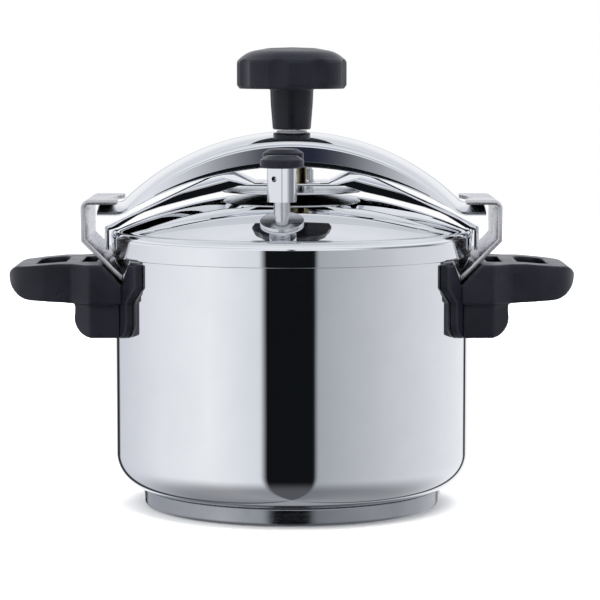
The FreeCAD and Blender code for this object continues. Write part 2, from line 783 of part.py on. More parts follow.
def bar_outline(sheet_inset):
    """Side view of the inner bar; with an inset, the hollow under its web."""
    middle = plate_top + lid_travel + 0.3 + bar_sheet
    shelf = flange_middle - shelf_drop
    shelf_in = plate_radius - shelf_inside
    shelf_out = shelf_in + shelf_length
    wall_in = plate_radius - window_inside
    wall_out = plate_radius + window_outside
    wall_far = yoke_reach - wall_slope_start
    wall_end = yoke_reach - wall_slope_end
    side = yoke_half_width - yoke_sheet - 1
    lift = lid_travel + lift_clear
    foot = flange_low - yoke_sheet
    end = foot - bar_droop
    top = [(-yoke_reach, end), (-shelf_out, shelf), (-shelf_in, shelf), (-bar_seat_half, middle),
           (bar_seat_half, middle), (shelf_in, shelf), (shelf_out, shelf), (yoke_reach, end)]
    low = [(yoke_reach, end - bar_sheet - 0.3), (yoke_reach - 13, foot - bar_foot_depth),
           (wall_end, dome_height(wall_end - 6, side) + lift - 0.2),
           (wall_far, dome_height(wall_far - 6, side) + lift),
           (wall_out, dome_height(wall_out - 8, side) + lift), (plate_radius, plate_top - 0.3),
           (wall_in, middle - bar_sheet)]
    if sheet_inset:
        top = [(x, as_size(z) - bar_sheet) for x, z in top]
        floor = as_size(dome_top - 60)
        return top + [(yoke_reach, floor), (-yoke_reach, floor)]
    return top + low + [(-x, z) for x, z in reversed(low)]


def tongue_outline():
    """Side view of all that lies between the bar's top and the height where its tongues end."""
    top = bar_outline(False)[:8]
    return top + [(yoke_reach, tongue_low), (-yoke_reach, tongue_low)]


def make_bar():
    half = yoke_half_width - yoke_sheet - 0.4
    solid = extruded("BarSolid", "XZ_Plane", bar_outline(False), half * 2)
    hollow = extruded("BarHollow", "XZ_Plane", bar_outline(True), (half - bar_sheet) * 2)
    bar = cut("BarPressed", solid, hollow)
    bored = cut("BarBored", bar, cylinder("BarBore", bush_radius + gap, arch_top))
    inner = skirt_outer + tongue_play
    trimmed = common("BarTrimmed", bored, cylinder("BarEnds", inner + bar_sheet, arch_top))
    tube = cut("TongueTube", cylinder("TongueOuter", inner + bar_sheet, arch_top - tongue_low, z=tongue_low),
               cylinder("TongueInner", inner, arch_top - tongue_low, z=tongue_low))
    below = extruded("TongueLimit", "XZ_Plane", tongue_outline(), half * 2 - 4)
    keep("yoke_bar", fused("BarWithTongues", [trimmed, common("Tongues", tube, below)]))


# ---------------------------------------------------------------- regulator
def make_regulator():
    seat = dome_height(valve_x, valve_y)
    low = seat - 14
    neck_top = weight_foot - 0.3
    bore = as_size(1.2)
    stem = turned("Nozzle", [
        (bore, low), (valve_stem - 1, low), (valve_stem - 1, seat + 4), (valve_stem, seat + 4),
        (valve_stem, neck_top), (3, neck_top), (3, valve_tip), (bore, valve_tip)], valve_x, valve_y)
    keep("regulator_nozzle", stem)
    disc = cylinder("WasherDisc", valve_washer, 24, valve_x, valve_y, seat - 12)
    shell = cut("WasherShell", dome_ball("WasherTop", washer_rise), dome_ball("WasherLow", gap))
    washer = common("WasherCap", disc, shell)
    hole = cylinder("WasherHole", valve_stem - 1 + gap, 24, valve_x, valve_y, seat - 12)
    keep("regulator_washer", cut("Washer", washer, hole))
    keep_nut("regulator", valve_x, valve_y, valve_stem - 1, seat)
    body = turned("Weight", [
        (weight_bore, weight_foot), (weight_radius, weight_foot),
        (weight_radius, weight_foot + weight_height),
        (5.5, weight_foot + weight_height), (5.5, weight_foot + weight_height + 3.4),
        (0, weight_foot + weight_height + 3.4), (0, weight_foot + weight_height - 1),
        (2.3, weight_foot + weight_height - 1), (2.3, weight_foot + 15.6), (weight_bore, weight_foot + 15.6)],
        valve_x, valve_y)
    vent = along_x("Vent", vent_radius, 0, weight_radius * 2, 0, 0)
    vent.Placement.Rotation = FreeCAD.Rotation(FreeCAD.Vector(0, 0, 1), -122) * vent.Placement.Rotation
    place(vent, valve_x, valve_y, vent_height)
    keep("regulator_weight", cut("WeightVented", body, vent))
    keep("regulator_needle", turned("Needle", [
        (0, valve_tip - 2.6), (0.9, valve_tip - 1.6), (0.9, valve_tip + 0.15), (2.2, valve_tip + 0.15),
        (2.2, weight_foot + weight_height - 1.2), (0, weight_foot + weight_height - 1.2)], valve_x, valve_y))
    cap_low = weight_foot + weight_height + gap
    bevel = as_size(2.6)
    keep("regulator_cap", turned("Cap", [
        (5.6, cap_low), (cap_radius - 1, cap_low, 1), (cap_radius, cap_low + 1),
        (cap_radius, cap_low + cap_height - bevel), (cap_radius - bevel * 1.6, cap_low + cap_height),
        (0, cap_low + cap_height), (0, cap_low + 3.5), (5.6, cap_low + 3.5)], valve_x, valve_y))


def keep_nut(name, x, y, stem, seat):
    """Silicone seal against the underside of the dome and a hexagonal nut below it."""
    inner = stem + gap
    nut_top = seat - 7.6
    ring = turned(f"{name}Ring", [
        (inner, nut_top), (seal_radius, nut_top), (seal_radius, seat + 8), (inner, seat + 8)], x, y)
    keep(f"{name}_seal", common(f"{name}Seal", ring, dome_ball(f"{name}Under", -(lid_wall + gap))))
    prism = bind(doc.addObject("Part::Prism", f"{name}Prism"), Polygon=6, Circumradius=nut_radius,
                 Height=nut_height)
    place(prism, x, y, nut_top - nut_height - gap)
    thread = cylinder(f"{name}Thread", stem + running_fit, nut_height * 3, x, y, nut_top - nut_height * 2)
    keep(f"{name}_nut", cut(f"{name}Nut", prism, thread))


# ---------------------------------------------------------------- float valve
def make_float_valve():
    seat = dome_height(float_x, float_y)
    bore = float_pin_radius + 0.15
    lower = float_sleeve + 0.9
    sleeve_low = seat - 13
    sleeve = turned("Sleeve", [
        (bore, sleeve_low), (lower, sleeve_low), (lower, seat + 2.2), (6.5, seat + 2.2), (6.5, seat + 5),
        (5.5, seat + 6), (float_sleeve, seat + 6), (float_sleeve, float_top), (bore, float_top)],
        float_x, float_y)
    keep("float_valve_sleeve", sleeve)
    keep_nut("float_valve", float_x, float_y, lower, seat)
    head_top = sleeve_low - float_travel - 1.4
    pin = turned("FloatPin", [
        (0, head_top - 2.5), (3.4, head_top - 2.5), (3.4, head_top), (float_pin_radius, head_top),
        (float_pin_radius, float_top + gap), (2.3, float_top + gap), (2.3, float_top + 0.9),
        (1.6, float_top + 1.5), (0, float_top + 1.5)], float_x, float_y)
    keep("float_pin", pin)
    keep("float_ring", turned("FloatRing", [
        (float_pin_radius + gap, head_top + gap), (3.3, head_top + gap), (3.3, head_top + 1.1),
        (float_pin_radius + gap, head_top + 1.1)], float_x, float_y))


# ---------------------------------------------------------------- build, check and write
def check_document():
    failed = [item.Name for item in doc.Objects if set(item.State) & {"Invalid", "Error"}]
    if failed:
        raise RuntimeError(f"these objects did not build: {failed}")
    for node, item in parts.items():
        if item.Shape.isNull() or not item.Shape.isValid() or not item.Shape.Solids:
            raise RuntimeError(f"{node} has no valid solid")


def main():
    makers = (make_pot, make_hooks, make_saddles, make_fasteners, make_handles, make_lid, make_gasket,
              make_plate, make_screw, make_bush, make_knob, make_yoke, make_bar, make_regulator,
              make_float_valve)
    for maker in makers:
        maker()
    doc.recompute()
    check_document()
    os.makedirs("parts", exist_ok=True)
    for node, item in parts.items():
        item.Shape.exportStep(f"parts/{node}.step")
        box = item.Shape.BoundBox
        print(f"{node:22s} solids {len(item.Shape.Solids)}  volume {item.Shape.Volume:10.1f}  "
              f"x {box.XMin:7.1f} {box.XMax:7.1f}  y {box.YMin:7.1f} {box.YMax:7.1f}  "
              f"z {box.ZMin:7.1f} {box.ZMax:7.1f}")


main()
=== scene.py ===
"""The looks of a stovetop pressure cooker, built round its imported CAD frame. Lengths are in metres."""
import json
import math

import bmesh
import bpy
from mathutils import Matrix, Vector


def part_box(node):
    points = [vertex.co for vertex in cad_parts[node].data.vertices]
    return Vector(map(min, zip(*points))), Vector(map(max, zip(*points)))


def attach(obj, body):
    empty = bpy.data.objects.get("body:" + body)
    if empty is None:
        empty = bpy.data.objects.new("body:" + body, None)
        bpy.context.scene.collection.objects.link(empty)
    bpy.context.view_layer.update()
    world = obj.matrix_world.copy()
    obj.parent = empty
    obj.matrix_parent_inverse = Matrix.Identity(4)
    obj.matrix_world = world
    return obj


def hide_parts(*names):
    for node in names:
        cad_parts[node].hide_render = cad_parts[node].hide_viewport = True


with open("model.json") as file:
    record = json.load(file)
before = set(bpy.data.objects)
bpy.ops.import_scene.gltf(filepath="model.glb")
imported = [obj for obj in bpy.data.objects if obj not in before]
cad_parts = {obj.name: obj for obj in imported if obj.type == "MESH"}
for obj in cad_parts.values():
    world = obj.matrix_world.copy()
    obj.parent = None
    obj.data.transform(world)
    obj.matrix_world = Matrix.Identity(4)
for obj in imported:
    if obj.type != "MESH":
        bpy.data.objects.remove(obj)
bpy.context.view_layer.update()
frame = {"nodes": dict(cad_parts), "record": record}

MM = 0.001
WELD_GAP = 2e-6


# ---- node graphs -------------------------------------------------------------------------------

class Graph:
    """A material's node graph, with short calls for the nodes used here."""

    def __init__(self, name):
        self.material = bpy.data.materials.new(name)
        self.material.use_nodes = True
        self.nodes = self.material.node_tree.nodes
        self.links = self.material.node_tree.links
        self.shader = self.nodes["Principled BSDF"]
        self.place = self.add("ShaderNodeTexCoord").outputs["Object"]

    def add(self, kind, **settings):
        node = self.nodes.new(kind)
        for key, value in settings.items():
            setattr(node, key, value)
        return node

    def feed(self, value, socket):
        """A number, colour or another node's output goes into a socket."""
        if isinstance(value, bpy.types.NodeSocket):
            self.links.new(value, socket)
        else:
            socket.default_value = value

    def noise(self, scale, detail=4, where=None, rough=0.5, warp=0.0):
        node = self.add("ShaderNodeTexNoise")
        self.feed(where or self.place, node.inputs["Vector"])
        node.inputs["Scale"].default_value = scale
        node.inputs["Detail"].default_value = detail
        node.inputs["Roughness"].default_value = rough
        node.inputs["Distortion"].default_value = warp
        return node.outputs["Fac"]

    def ramp(self, value, *stops):
        """A value through a colour ramp of (place, colour) stops."""
        node = self.add("ShaderNodeValToRGB")
        self.feed(value, node.inputs["Fac"])
        elements = node.color_ramp.elements
        while len(elements) < len(stops):
            elements.new(0.5)
        for element, (place, colour) in zip(elements, stops):
            element.position = place
            element.color = tuple(colour) + (1,) if len(colour) == 3 else colour
        return node.outputs["Color"]

    def between(self, value, low, high, start=0.0, end=1.0):
        """A value spread from its range start..end to low..high."""
        node = self.add("ShaderNodeMapRange")
        self.feed(value, node.inputs["Value"])
        for key, number in (("From Min", start), ("From Max", end), ("To Min", low), ("To Max", high)):
            node.inputs[key].default_value = number
        return node.outputs["Result"]

    def maths(self, operation, a, b=0.0):
        node = self.add("ShaderNodeMath", operation=operation)
        self.feed(a, node.inputs[0])
        self.feed(b, node.inputs[1])
        return node.outputs["Value"]

    def bump(self, height, strength, distance, below=None):
        node = self.add("ShaderNodeBump")
        self.feed(height, node.inputs["Height"])
        node.inputs["Strength"].default_value = strength
        node.inputs["Distance"].default_value = distance
        if below is not None:
            self.feed(below, node.inputs["Normal"])
        return node.outputs["Normal"]

    def finish(self, **sockets):
        """Sets the shader's sockets, each by a number, a colour or a node's output."""
        for key, value in sockets.items():
            self.feed(value, self.shader.inputs[key.replace("_", " ")])
        return self.material


# Dark grey painted over a band of a metal: a painted shade, used on the brass bush's top where it shows in
# the gap under the knob's stem.
PAINTED_SHADE_GREY = (0.30, 0.30, 0.31, 1)
PAINTED_SHADE_FADE = 0.2 * MM


def metal(name, dark, light, rough, smudge, waves=0.0, grain=None, ring=False, painted_shade_band=None):
    """Steel, chrome or brass: its colour drifts a little, and smudges and fine wear vary its gloss.

    Rough is the gloss's range, smudge the depth of the specks and waves the height of slow ripples in the
    surface. Grain is the stretch along three directions and the height of its streaks, which run round Z if
    ring is set. The last argument is a range of heights where the metal is painted dark grey, a painted
    shade.
    """
    g = Graph(name)
    tone = g.ramp(g.noise(28, 5, warp=0.4), (0.3, dark), (0.7, light))
    # Painted shade: a band of heights is mixed to dark grey.
    if painted_shade_band:
        height = g.add("ShaderNodeSeparateXYZ")
        g.feed(g.place, height.inputs["Vector"])
        join = g.add("ShaderNodeMix", data_type="RGBA")
        start, end = painted_shade_band
        above = g.between(height.outputs["Z"], 0.0, 1.0, start, start + PAINTED_SHADE_FADE)
        below = g.between(height.outputs["Z"], 1.0, 0.0, end, end + PAINTED_SHADE_FADE)
        g.feed(g.maths("MULTIPLY", above, below), join.inputs["Factor"])
        g.feed(tone, join.inputs["A"])
        join.inputs["B"].default_value = PAINTED_SHADE_GREY
        tone = join.outputs["Result"]
    cloud = g.noise(16, 6, rough=0.62, warp=0.8)
    gloss = g.between(cloud, rough[0], rough[1], 0.32, 0.72)
    specks = g.between(g.noise(900, 2), 0, smudge, 0.60, 0.78)
    gloss = g.maths("ADD", gloss, specks)
    normal = g.bump(g.noise(9, 2), 1.0, waves) if waves else None
    if grain:
        scale, depth = grain[:3], grain[3]
        where = ring_place(g) if ring else g.place
        node = g.add("ShaderNodeMapping")
        g.feed(where, node.inputs["Vector"])
        node.inputs["Scale"].default_value = scale
        streaks = g.noise(1.0, 3, where=node.outputs["Vector"], rough=0.7)
        gloss = g.maths("ADD", gloss, g.between(streaks, -0.06, 0.06, 0.3, 0.7))
        normal = g.bump(streaks, 0.5, depth, normal)
    made = {"Base_Color": tone, "Metallic": 1.0, "Roughness": gloss}
    if normal is not None:
        made["Normal"] = normal
    return g.finish(**made)


def ring_place(g):
    """Cylindrical coordinates about Z: the distance round, nothing, and the height."""
    parts = g.add("ShaderNodeSeparateXYZ")
    g.feed(g.place, parts.inputs["Vector"])
    x, y, z = parts.outputs["X"], parts.outputs["Y"], parts.outputs["Z"]
    angle = g.maths("ARCTAN2", y, x)
    radius = g.maths("SQRT", g.maths("ADD", g.maths("MULTIPLY", x, x), g.maths("MULTIPLY", y, y)))
    joined = g.add("ShaderNodeCombineXYZ")
    g.feed(g.maths("MULTIPLY", angle, 0.1), joined.inputs["X"])
    g.feed(radius, joined.inputs["Y"])
    g.feed(z, joined.inputs["Z"])
    return joined.outputs["Vector"]


def moulded(name, dark, light, rough, grain=1.0):
    """Moulded Bakelite or silicone: satin, with a fine pebbled grain, slow drift and rubbed patches."""
    g = Graph(name)
    drift = g.noise(35, 4, warp=0.3)
    speckle = g.noise(1400, 2)
    mottle = g.maths("ADD", g.maths("MULTIPLY", drift, 0.8), g.maths("MULTIPLY", speckle, 0.2))
    tone = g.ramp(mottle, (0.35, dark), (0.65, light))
    rubbed = g.noise(55, 5, rough=0.6, warp=0.6)
    fine = g.noise(2600, 2)
    wavy = g.noise(120, 2)
    gloss = g.between(rubbed, rough[0], rough[1], 0.35, 0.7)
    normal = g.bump(wavy, 0.5, 0.00012 * grain)
    normal = g.bump(fine, 0.35, 0.00006 * grain, normal)
    return g.finish(Base_Color=tone, Roughness=gloss, Normal=normal, Specular_IOR_Level=0.24)


BUSH_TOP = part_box("threaded_bush")[1].z

MATERIALS = {
    "mirror_steel": metal("mirror_steel", (0.80, 0.81, 0.83), (0.84, 0.85, 0.87), (0.012, 0.024), 0.012,
                          waves=0.00008),
    "base_steel": metal("base_steel", (0.30, 0.31, 0.33), (0.38, 0.39, 0.41), (0.10, 0.18), 0.04,
                        grain=(30, 300, 2600, 0.00004), ring=True),
    "base_aluminium": metal("base_aluminium", (0.66, 0.67, 0.68), (0.76, 0.77, 0.78), (0.34, 0.46), 0.05),
    "hook_steel": metal("hook_steel", (0.60, 0.59, 0.61), (0.72, 0.71, 0.73), (0.22, 0.32), 0.04,
                        grain=(1600, 60, 1600, 0.00003)),
    "plain_steel": metal("plain_steel", (0.62, 0.63, 0.65), (0.72, 0.73, 0.75), (0.16, 0.24), 0.05,
                         grain=(40, 500, 2200, 0.00002), ring=True),
    "chrome_plate": metal("chrome_plate", (0.74, 0.75, 0.77), (0.80, 0.81, 0.83), (0.02, 0.045), 0.02),
    "bakelite": moulded("bakelite", (0.0036, 0.0040, 0.0070), (0.0080, 0.0086, 0.0138), (0.26, 0.38)),
    "silicone": moulded("silicone", (0.06, 0.06, 0.065), (0.09, 0.09, 0.095), (0.50, 0.65), 1.5),
    # The top of the brass bush is painted dark grey, a painted shade for the gap under the knob's stem.
    "brass": metal("brass", (0.36, 0.31, 0.17), (0.46, 0.40, 0.23), (0.22, 0.34), 0.05,
                   painted_shade_band=(BUSH_TOP - 2.2 * MM, BUSH_TOP + 0.1 * MM)),
}

NODE_SLOT = {}
for row in frame["record"]["subparts"]:
    NODE_SLOT[row["node"]] = row["material_slot"]


# ---- mesh helpers ------------------------------------------------------------------------------

def piece(name, body, slot, vertices, faces, stands_for, sharp):
    """A mesh with smooth faces, and creases where it turns by more than the sharp angle, in degrees.

    It rides on a body and stands for the nodes named.
    """
    mesh = bpy.data.meshes.new(name)
    mesh.from_pydata(vertices, [], faces)
    clean = bmesh.new()
    clean.from_mesh(mesh)
    bmesh.ops.remove_doubles(clean, verts=clean.verts, dist=1e-7)
    bmesh.ops.recalc_face_normals(clean, faces=clean.faces)
    clean.to_mesh(mesh)
    clean.free()
    mesh.shade_smooth()
    mesh.set_sharp_from_angle(angle=math.radians(sharp))
    mesh.materials.append(MATERIALS[slot])
    made = bpy.data.objects.new(name, mesh)
    bpy.context.scene.collection.objects.link(made)
    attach(made, body)
    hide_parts(*stands_for)
    return made


def drilled(made, radius, depth, middle, sharp):
    """Cuts an upright round hole of a radius and depth through a piece, round a middle point."""
    bpy.ops.mesh.primitive_cylinder_add(vertices=96, radius=radius, depth=depth, location=middle)
    drill = bpy.context.object
    bore = made.modifiers.new("bore", "BOOLEAN")
    bore.object = drill
    bore.solver = "EXACT"
    graph = bpy.context.evaluated_depsgraph_get()
    made.data = bpy.data.meshes.new_from_object(made.evaluated_get(graph))
    made.modifiers.clear()
    bpy.data.objects.remove(drill)
    made.data.shade_smooth()
    made.data.set_sharp_from_angle(angle=math.radians(sharp))


def rounded(outline, steps=6):
    """A polyline whose corners (x, z, radius) are rounded by arcs; radius 0 keeps a corner."""
    made = []
    last = len(outline) - 1
    for i, (x, z, radius) in enumerate(outline):
        if radius <= 0 or i in (0, last):
            made.append((x, z))
            continue
        here = Vector((x, z))
        before = Vector(outline[i - 1][:2]) - here
        after = Vector(outline[i + 1][:2]) - here
        angle = before.angle(after)
        if angle > math.pi - 0.01:
            made.append((x, z))
            continue
        back = min(radius / math.tan(angle / 2), before.length * 0.49, after.length * 0.49)
        actual = back * math.tan(angle / 2)
        inward = (before.normalized() + after.normalized()).normalized()
        middle = here + inward * (actual / math.sin(angle / 2))
        first = here + before.normalized() * back - middle
        turn = first.angle_signed(here + after.normalized() * back - middle)
        for k in range(steps + 1):
            a = -turn * k / steps
            made.append((middle.x + first.x * math.cos(a) - first.y * math.sin(a),
                         middle.y + first.x * math.sin(a) + first.y * math.cos(a)))
    return made


def arc(cx, cz, radius, start, end, steps):
    """Points of an arc, angles in degrees from the +X direction."""
    angles = [math.radians(start + (end - start) * k / steps) for k in range(steps + 1)]
    return [(cx + radius * math.cos(a), cz + radius * math.sin(a)) for a in angles]


LONG_RUN = 2 * MM
SUPPORT = 0.2 * MM


def supported(profile):
    """The outline with extra points near the ends of its long runs, so that shading stays flat along them."""
    made = []
    for k, (r, z) in enumerate(profile):
        after_r, after_z = profile[(k + 1) % len(profile)]
        made.append((r, z))
        length = math.hypot(after_r - r, after_z - z)
        if length > LONG_RUN:
            for share in (SUPPORT / length, 1 - SUPPORT / length):
                made.append((r + (after_r - r) * share, z + (after_z - z) * share))
    return made


def lathe(profile, turns=192, x=0.0, y=0.0, wobble=None):
    """Vertices and faces of a closed outline of (radius, height) turned about an upright axis at x, y."""
    profile = supported(profile)
    vertices = []
    faces = []
    n = len(profile)
    for i in range(turns):
        a = 2 * math.pi * i / turns
        for r, z in profile:
            reach = r if wobble is None else wobble(r, z, a)
            vertices.append((x + reach * math.cos(a), y + reach * math.sin(a), z))
    for i in range(turns):
        j = (i + 1) % turns
        for k in range(n):
            m = (k + 1) % n
            if max(profile[k][0], profile[m][0]) < 1e-9:
                continue
            faces.append((i * n + k, i * n + m, j * n + m, j * n + k))
    return vertices, faces


# ---- the pot and its base ----------------------------------------------------------------------

def make_pot():
    """The drawn pot: a rounded bottom, a straight wall and a rounded rim."""
    low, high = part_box("pot_body")
    reach = high.x
    wall = 1.2 * MM
    bend = 22 * MM
    foot = low.z
    top = high.z
    outer = [(0, foot)] + arc(reach - bend, foot + bend, bend, -90, 0, 22)
    rim = arc(reach - wall / 2, top - wall / 2, wall / 2, 0, 180, 8)
    inner = arc(reach - bend, foot + bend, bend - wall, 0, -90, 22) + [(0, foot + wall)]
    rows = 12
    straight = [(reach, foot + bend + (top - foot - bend) * k / rows) for k in range(1, rows)]
    piece("pot_shell", "pot", "mirror_steel", *lathe(outer + straight + rim + inner, 288), ["pot_body"], 40)


def make_base():
    """The base's pressed cap: a soft lower edge, a thin side, and shallow turning rings underneath."""
    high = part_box("base_cap")[1]
    reach = high.x
    skin = 1 * MM
    corner = 3 * MM
    top = high.z - 0.05 * MM
    ring_step, ring_half, ring_depth, ring_count = 3 * MM, 0.5 * MM, 0.12 * MM, 29
    outline = [(0, 0.0)]
    for k in range(1, ring_count + 1):
        r = ring_step * k
        outline += [(r - ring_half, 0.0), (r, ring_depth), (r + ring_half, 0.0)]
    outline += arc(reach - corner, corner, corner, -90, 0, 8)
    outline += rounded([(reach, corner + 1 * MM, 0), (reach, top, 0.5 * MM), (reach - skin, top, 0.3 * MM),
                        (reach - skin, skin, 0), (0, skin, 0)], 3)
    piece("base_pressing", "pot", "base_steel", *lathe(outline, 256), ["base_cap"], 50)


# ---- the lid -----------------------------------------------------------------------------------

def make_lid():
    """The lid pressing: a low dome, a tight shoulder and a skirt, with two bores for the valves."""
    low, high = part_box("lid_shell")
    wall = 1.2 * MM
    bend = 4 * MM
    skirt_height = 15.4 * MM
    valve_bore = 4.1 * MM
    skirt = high.x
    edge = skirt - bend
    shoulder = low.z + skirt_height
    rise = high.z - shoulder
    ball = (edge * edge + rise * rise) / (2 * rise)
    centre = high.z - ball

    def dome(radius, start, end, steps):
        angles = [start + (end - start) * k / steps for k in range(steps + 1)]
        return [(radius * math.sin(a), centre + radius * math.cos(a)) for a in angles]

    rim_angle = math.asin(edge / ball)
    outline = dome(ball, 0, rim_angle, 60)
    outline += arc(edge, shoulder - bend, bend, 84, 0, 10)
    outline += rounded([(skirt, shoulder - bend - 1 * MM, 0), (skirt, low.z, 0.55 * MM),
                        (skirt - wall, low.z, 0.4 * MM), (skirt - wall, shoulder - bend, 0)], 5)
    outline += arc(edge, shoulder - bend, bend - wall, 0, 80, 8)[1:]
    outline += dome(ball - wall, rim_angle * 0.997, 0, 60)
    lid = piece("lid_pressing", "lid", "mirror_steel", *lathe(outline, 320), ["lid_shell"], 40)
    for node in ("regulator_nozzle", "float_valve_sleeve"):
        near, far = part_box(node)
        drilled(lid, valve_bore, 60 * MM, ((near.x + far.x) / 2, (near.y + far.y) / 2, shoulder), 40)


# ---- the knob ----------------------------------------------------------------------------------

def make_knob():
    """The clamp knob: a tapered stem, a scalloped head and a low domed top."""
    low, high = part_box("knob")
    reach = max(high.x, high.y)
    foot = low.z
    top = high.z
    under = foot + 25.7 * MM
    edge = top - 8.5 * MM
    outline = rounded([
        (9.6 * MM, foot, 0), (12.0 * MM, foot, 1.2 * MM), (13.3 * MM, foot + 16 * MM, 8 * MM),
        (13.7 * MM, under, 1.6 * MM), (reach - 1.6 * MM, under, 0.8 * MM),
        (reach, under + 2.2 * MM, 1.5 * MM), (reach, edge, 3.4 * MM),
        (reach * 0.80, edge + 5.6 * MM, 18 * MM), (reach * 0.42, top - 0.5 * MM, 20 * MM), (0, top, 0)], 6)
    pitch, first = math.radians(45), math.radians(8)
    cutter, depth, soft = 26 * MM, 1.3 * MM, 0.25 * MM
    centre = reach + cutter - depth

    def scallop(r, z, a):
        """The radius inside the eight round cuts in the head's side, with soft edges to the cuts."""
        if r < reach * 0.72 or z < under - 1e-6:
            return r
        off = abs((a - first) / pitch % 1.0 - 0.5) * pitch
        inside = cutter ** 2 - (centre * math.sin(off)) ** 2
        if inside <= 0:
            return r
        bound = centre * math.cos(off) - math.sqrt(inside)
        over = r - bound
        return r - (over + math.sqrt(over * over + soft * soft)) / 2 if over > -4 * soft else r

    bore, bore_top = 8.6 * MM, foot + 22 * MM
    outline += [(0, bore_top), (bore, bore_top), (bore, foot + 0.2 * MM)]
    piece("knob_moulding", "knob_and_screw", "bakelite", *lathe(outline, 360, wobble=scallop), ["knob"], 32)


# ---- the regulator -----------------------------------------------------------------------------

def make_regulator_cap():
    """The weight's black cap: a bevelled crown over a short straight side."""
    low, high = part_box("regulator_cap")
    x, y = (low.x + high.x) / 2, (low.y + high.y) / 2
    reach = (high.x - low.x) / 2
    bore, bore_top = 5.65 * MM, low.z + 3.45 * MM
    outline = rounded([
        (bore, low.z, 0), (reach - 1.2 * MM, low.z, 0.7 * MM), (reach, low.z + 1.2 * MM, 0.8 * MM),
        (reach, high.z - 2.7 * MM, 0.9 * MM), (reach - 4.0 * MM, high.z - 0.2 * MM, 1.4 * MM),
        (reach * 0.45, high.z, 3 * MM), (0, high.z, 0)], 5)
    outline += [(0, bore_top), (bore, bore_top)]
    piece("weight_cap", "regulator", "bakelite", *lathe(outline, 128, x, y), ["regulator_cap"], 40)


# ---- pieces made from their node's own mesh ----------------------------------------------------

def stand_for(made, node, body):
    """Gives a piece its node's finish, body and slot."""
    made.data.materials.clear()
    made.data.materials.append(MATERIALS[NODE_SLOT[node]])
    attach(made, body)
    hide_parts(node)


def softened(node, body, name, voxel, rounds):
    """A moulded piece with the node's shape, its edges rounded by a remesh and rounds of smoothing."""
    mesh = frame["nodes"][node].data.copy()
    made = bpy.data.objects.new(name, mesh)
    bpy.context.scene.collection.objects.link(made)
    welded = bmesh.new()
    welded.from_mesh(mesh)
    bmesh.ops.remove_doubles(welded, verts=welded.verts, dist=WELD_GAP)
    welded.to_mesh(mesh)
    welded.free()
    remesh = made.modifiers.new("voxels", "REMESH")
    remesh.mode = "VOXEL"
    remesh.voxel_size = voxel
    smooth = made.modifiers.new("smooth", "SMOOTH")
    smooth.factor = 0.5
    smooth.iterations = rounds
    graph = bpy.context.evaluated_depsgraph_get()
    applied = bpy.data.meshes.new_from_object(made.evaluated_get(graph))
    made.modifiers.clear()
    made.data = applied
    applied.name = name
    applied.shade_smooth()
    stand_for(made, node, body)


make_pot()
make_base()
make_lid()
make_knob()
make_regulator_cap()
for side in ("left", "right"):
    softened(f"handle_{side}", "pot", f"grip_{side}", 0.7 * MM, 8)
    softened(f"saddle_{side}", "pot", f"shoe_{side}", 0.6 * MM, 5)


# ---- the yoke ----------------------------------------------------------------------------------

CREASE = 38


